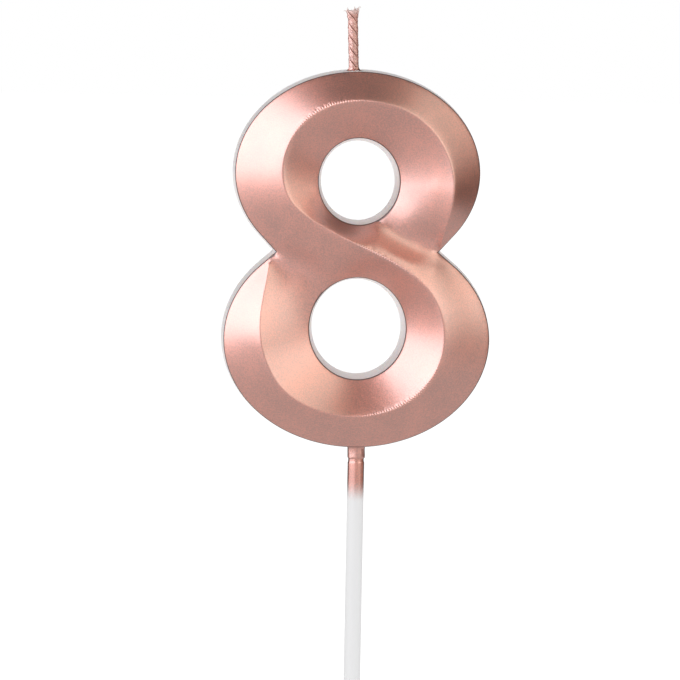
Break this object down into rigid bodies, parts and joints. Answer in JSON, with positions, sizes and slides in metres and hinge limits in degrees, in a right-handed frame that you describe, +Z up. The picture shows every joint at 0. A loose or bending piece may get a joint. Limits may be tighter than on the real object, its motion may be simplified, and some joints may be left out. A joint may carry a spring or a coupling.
{
  "type": "number birthday candle",
  "caption": "Cake candle cast as the numeral eight, with a ridged metallic front, open loops, a twisted cotton wick on top and a plain round stick that pushes into the cake.",
  "frame": {"origin": "on the stick's axis, at the top of its straight shank, just under the neck of wax; the cake's surface comes about here", "axes": "+Z up along the stick, +Y out of the flat back, so the carved front faces -Y; +X to the right seen from the front"},
  "size_m": [0.0493, 0.011, 0.1384],
  "materials": {
    "painted_wax": "cast paraffin wax with a satin metallic rose-gold lacquer sprayed from the front; bare white wax at the back",
    "stick_plastic": "satin white moulded plastic, oversprayed rose gold at its top",
    "wick_cotton": "waxed twisted cotton, oversprayed rose gold"
  },
  "bodies": {
    "root": {"wax_body": "painted_wax", "stick": "stick_plastic", "wick_ply_1": "wick_cotton", "wick_ply_2": "wick_cotton", "wick_ply_3": "wick_cotton"}
  },
  "joints": []
}
